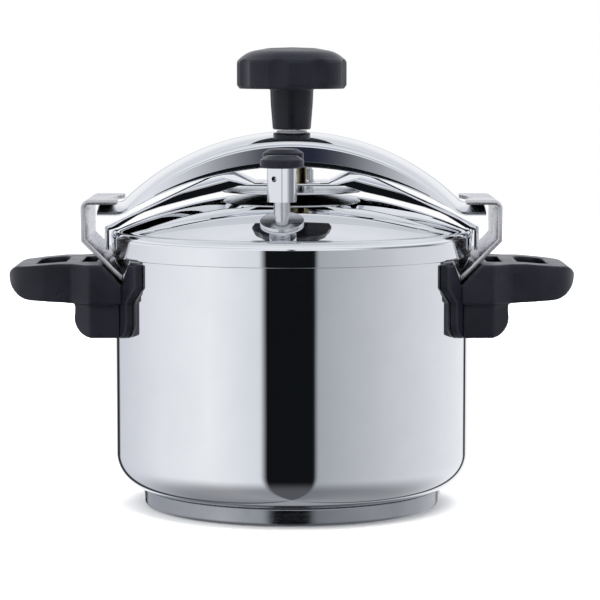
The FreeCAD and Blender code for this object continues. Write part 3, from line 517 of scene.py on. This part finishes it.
def make_yoke():
    """The bent channel over the lid: a cambered crown, soft creases and side flanges with a curved edge."""
    low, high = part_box("yoke_channel")
    sheet = 2 * MM
    half = high.y
    reach = high.x
    top = high.z
    camber = 5.3 * MM
    foot_bend = 6 * MM
    flat = 11.08 * MM
    bush_bore = 9.62 * MM
    lip = 0.45 * MM
    flange_least = 0.05 * MM
    side_rows, half_stations = 8, 130
    foot = low.z + camber + 0.6 * MM
    bend_x, bend_z = reach - flat, foot + foot_bend
    rise = top - bend_z
    arch = (bend_x ** 2 + rise ** 2 - foot_bend ** 2) / (2 * (rise + foot_bend))
    centre = top - arch
    crown = (half ** 2 + camber ** 2) / (2 * camber)
    middle_edge = top - 21.2 * MM
    chord, drop = reach - 16.3 * MM, middle_edge - low.z
    edge_curve = (chord ** 2 + drop ** 2) / (2 * drop)

    def surface(x, depth):
        """The height, at a distance x along the yoke, of the surface a given depth below the crown."""
        x = abs(x)
        turn = (arch - depth) * bend_x / (arch + foot_bend)
        if x <= turn:
            return centre + math.sqrt((arch - depth) ** 2 - x * x)
        if x < bend_x:
            return bend_z - math.sqrt((foot_bend + depth) ** 2 - (bend_x - x) ** 2)
        return foot - depth

    def edge(x):
        """The height of the flange's lower edge."""
        inside = edge_curve ** 2 - x * x
        return max(low.z, middle_edge - edge_curve + math.sqrt(max(inside, 0)))

    def section(inset, crease):
        """Half a cross-section as (y, depth) points over the crown, and the flange's y."""
        side = half - inset
        points = []
        crown_steps = 8
        for k in range(crown_steps + 1):
            y = side * 0.80 * k / crown_steps
            points.append((y, crown - math.sqrt(crown ** 2 - y * y) + inset, 0))
        last = crown - math.sqrt(crown ** 2 - side * side) + inset
        points += [(side, last, crease), (side, last + 4 * MM, 0)]
        return rounded(points, 6)[:-1], side

    outer, outer_side = section(0.0, 2.6 * MM)
    inner, inner_side = section(sheet, 0.7 * MM)
    levels = [k / side_rows for k in range(1, side_rows + 1)]
    stations = [reach * k / half_stations for k in range(-half_stations, half_stations + 1)]
    rows = []
    for x in stations:
        sides = []
        for points, side in ((outer, outer_side), (inner, inner_side)):
            column = [(y, surface(x, depth)) for y, depth in points]
            last = column[-1][1]
            lowest = min(edge(x), last - flange_least)
            column += [(side, last + (lowest - last) * share) for share in levels]
            sides.append([(-y, z) for y, z in reversed(column[1:])] + column)
        over, under = sides
        for k, direction in ((0, 1), (-1, -1)):
            over[k] = (over[k][0] + direction * lip, over[k][1])
            under[k] = (under[k][0] - direction * lip, over[k][1])
        rows.append([(x, y, z) for y, z in over] + [(x, y, z) for y, z in reversed(under)])
    n = len(rows[0])
    vertices = [point for row in rows for point in row]
    faces = [(i * n + k, i * n + (k + 1) % n, (i + 1) * n + (k + 1) % n, (i + 1) * n + k)
             for i in range(len(rows) - 1) for k in range(n)]
    for base in (0, (len(rows) - 1) * n):
        faces += [(base + k, base + k + 1, base + n - 2 - k, base + n - 1 - k) for k in range(n // 2 - 1)]
    yoke = piece("yoke_pressing", "yoke", "mirror_steel", vertices, faces, ["yoke_channel"], CREASE)
    drilled(yoke, bush_bore, 50 * MM, (0, 0, top), CREASE)


def eased(node, body, name, width):
    """A pressed piece with the node's shape and a small round along its sharp edges."""
    mesh = frame["nodes"][node].data.copy()
    work = bmesh.new()
    work.from_mesh(mesh)
    bmesh.ops.remove_doubles(work, verts=work.verts, dist=WELD_GAP)
    bmesh.ops.dissolve_limit(work, angle_limit=math.radians(0.3), verts=work.verts, edges=work.edges)
    crease = math.radians(CREASE)
    edges = [e for e in work.edges if len(e.link_faces) == 2 and e.calc_face_angle() > crease]
    bmesh.ops.bevel(work, geom=edges, offset=width, segments=3, profile=0.5, affect="EDGES",
                    clamp_overlap=True)
    work.to_mesh(mesh)
    work.free()
    made = bpy.data.objects.new(name, mesh)
    bpy.context.scene.collection.objects.link(made)
    mesh.name = name
    mesh.shade_smooth()
    mesh.set_sharp_from_angle(angle=crease)
    stand_for(made, node, body)


make_yoke()
eased("yoke_bar", "yoke", "bar_pressing", 0.35 * MM)
for side in ("left", "right"):
    eased(f"hook_{side}", "pot", f"hook_strip_{side}", 0.5 * MM)


# ---- the CAD nodes that stay, with their finishes ----------------------------------------------

for name, made in frame["nodes"].items():
    made.data.materials.clear()
    made.data.materials.append(MATERIALS[NODE_SLOT[name]])


# ---- studio ------------------------------------------------------------------------------------

# Colours by azimuth in degrees, 0 towards the camera: BANDS below the height BAND_TOP, UPPER_BANDS above it.
WALL = (0.95, 0.97, 1.0)
EDGE = (0.03, 0.03, 0.035)
FRONT = (0.006, 0.007, 0.009)
UPPER_WALL = (0.93, 0.95, 0.985)
UPPER_EDGE = (0.06, 0.06, 0.07)
BANDS = [
    (-180, WALL), (-163, WALL), (-161, EDGE), (-153, EDGE), (-150, (0.66, 0.68, 0.74)),
    (-92, (0.88, 0.89, 0.93)), (-55, (0.97, 0.98, 1.0)), (-20, (0.78, 0.81, 0.85)), (-16, FRONT), (14, FRONT),
    (17, (0.42, 0.44, 0.47)), (70, (0.66, 0.68, 0.71)), (149, (0.96, 0.97, 1.0)), (151.5, EDGE), (156, EDGE),
    (158, WALL), (180, WALL),
]
BAND_TOP = (-4.1, -3.7)
UPPER_BANDS = [
    (-180, WALL), (-166, WALL), (-162, (0.05, 0.05, 0.06)), (-148, (0.08, 0.08, 0.09)),
    (-138, UPPER_WALL), (35, UPPER_WALL), (60, (0.30, 0.31, 0.34)), (95, (0.22, 0.23, 0.26)),
    (118, UPPER_WALL), (146, UPPER_WALL), (150, UPPER_EDGE), (158, UPPER_EDGE), (163, WALL),
]
# Colours by the sine of the height above the horizon.
OVERHEAD = [
    (0.0, (0.36, 0.38, 0.45)), (0.07, (0.60, 0.63, 0.72)), (0.16, (0.97, 0.98, 1.0)),
    (0.34, (0.97, 0.98, 1.0)), (0.52, (0.74, 0.76, 0.80)), (0.72, (0.86, 0.88, 0.92)),
    (1.0, (0.62, 0.64, 0.68)),
]
# A darker lower part, and a small dark card in front, just below the horizon, that deepens the yoke's flange.
UNDER = (0.13, 0.135, 0.15)
UNDER_FADE = (-0.35, -0.85)
UNDER_SHARE = 0.75
CARD = (0.020, 0.023, 0.042)
CARD_HEIGHT = -0.042


def studio_light():
    """A studio given by direction. To the camera itself the background is plain white."""
    world = bpy.data.worlds.new("studio")
    bpy.context.scene.world = world
    world.use_nodes = True
    nodes = world.node_tree.nodes
    links = world.node_tree.links
    nodes.clear()
    out = nodes.new("ShaderNodeOutputWorld")
    place = nodes.new("ShaderNodeTexCoord")
    parts = nodes.new("ShaderNodeSeparateXYZ")
    links.new(place.outputs["Generated"], parts.inputs["Vector"])

    def maths(operation, a, b=0.0):
        node = nodes.new("ShaderNodeMath")
        node.operation = operation
        for value, socket in ((a, node.inputs[0]), (b, node.inputs[1])):
            if isinstance(value, bpy.types.NodeSocket):
                links.new(value, socket)
            else:
                socket.default_value = value
        return node.outputs["Value"]

    toward = maths("MULTIPLY", parts.outputs["Y"], -1.0)
    azimuth = maths("ARCTAN2", parts.outputs["X"], toward)
    share = maths("ADD", maths("DIVIDE", azimuth, 2 * math.pi), 0.5)
    height = parts.outputs["Z"]

    def fade(value, start, end):
        """0 where the value is at its start, 1 at its end, smooth between."""
        node = nodes.new("ShaderNodeMapRange")
        node.interpolation_type = "SMOOTHSTEP"
        links.new(value, node.inputs["Value"])
        node.inputs["From Min"].default_value = start
        node.inputs["From Max"].default_value = end
        return node.outputs["Result"]

    def mixed(share, a, b):
        node = nodes.new("ShaderNodeMix")
        node.data_type = "RGBA"
        links.new(share, node.inputs["Factor"])
        for value, key in ((a, "A"), (b, "B")):
            if isinstance(value, bpy.types.NodeSocket):
                links.new(value, node.inputs[key])
            else:
                node.inputs[key].default_value = value + (1,)
        return node.outputs["Result"]

    def banded(value, stops, scale=1.0, shift=0.0):
        """The value through a ramp of (place, colour) stops, whose places are scaled and shifted to 0..1."""
        node = nodes.new("ShaderNodeValToRGB")
        links.new(value, node.inputs["Fac"])
        spots = node.color_ramp.elements
        while len(spots) < len(stops):
            spots.new(0.5)
        for element, (where, colour) in zip(spots, stops):
            element.position = where * scale + shift
            element.color = colour + (1,)
        return node.outputs["Color"]

    low = banded(share, BANDS, 1 / 360, 0.5)
    high = banded(share, UPPER_BANDS, 1 / 360, 0.5)
    sines = [math.sin(math.radians(degrees)) for degrees in BAND_TOP]
    walls = mixed(fade(height, *sines), low, high)
    off_axis = maths("ABSOLUTE", azimuth)
    off_level = maths("ABSOLUTE", maths("ADD", height, -CARD_HEIGHT))
    card = maths("MULTIPLY", fade(off_axis, math.radians(4.0), math.radians(0.2)),
                 fade(off_level, 0.030, 0.014))
    walls = mixed(card, walls, CARD)
    walls = mixed(fade(height, 0.0, 0.03), walls, banded(height, OVERHEAD))
    walls = mixed(maths("MULTIPLY", fade(height, *UNDER_FADE), UNDER_SHARE), walls, UNDER)
    studio = nodes.new("ShaderNodeBackground")
    links.new(walls, studio.inputs["Color"])
    white = nodes.new("ShaderNodeBackground")
    white.inputs["Color"].default_value = (1, 1, 1, 1)
    path = nodes.new("ShaderNodeLightPath")
    choose = nodes.new("ShaderNodeMixShader")
    links.new(path.outputs["Is Camera Ray"], choose.inputs["Fac"])
    links.new(studio.outputs["Background"], choose.inputs[1])
    links.new(white.outputs["Background"], choose.inputs[2])
    links.new(choose.outputs["Shader"], out.inputs["Surface"])


studio_light()

FLOOR_RADIUS = 3.0
bpy.ops.mesh.primitive_circle_add(vertices=96, radius=FLOOR_RADIUS, fill_type="NGON")
floor = bpy.context.object
floor.name = "floor"
ground = Graph("pale_floor")
pale = ground.ramp(ground.noise(12, 3), (0.3, (0.965, 0.96, 0.955)), (0.7, (0.985, 0.98, 0.975)))
floor.data.materials.append(ground.finish(Base_Color=pale, Roughness=0.6, Specular_IOR_Level=0.2))
floor.visible_glossy = False

LAMP_TARGET = Vector((0, 0, 0.1))


def softbox(name, place, size, power):
    """A square lamp aimed at the pot. It lights the floor and the dull pieces, and isn't mirrored."""
    data = bpy.data.lights.new(name, "AREA")
    data.shape = "SQUARE"
    data.size = size
    data.energy = power
    made = bpy.data.objects.new(name, data)
    bpy.context.scene.collection.objects.link(made)
    made.location = place
    made.rotation_euler = (LAMP_TARGET - Vector(place)).to_track_quat("-Z", "Y").to_euler()
    made.visible_glossy = False


softbox("key_left", (-1.3, -0.9, 1.5), 1.4, 24)
softbox("top", (0.2, 0.2, 1.9), 2.4, 95)
softbox("fill_right", (1.5, -0.6, 0.8), 1.2, 7)

CAMERA_PLACE = Vector((0.0052, -1.61, 0.284))
CAMERA_AIM = Vector((0.0052, 0, 0.129))
camera_data = bpy.data.cameras.new("camera")
camera = bpy.data.objects.new("camera", camera_data)
bpy.context.scene.collection.objects.link(camera)
camera_data.sensor_width = 36
camera_data.lens = 152.6
camera.location = CAMERA_PLACE
camera.rotation_euler = (CAMERA_AIM - CAMERA_PLACE).to_track_quat("-Z", "Y").to_euler()
bpy.context.scene.camera = camera
bpy.context.scene.view_settings.view_transform = "Standard"
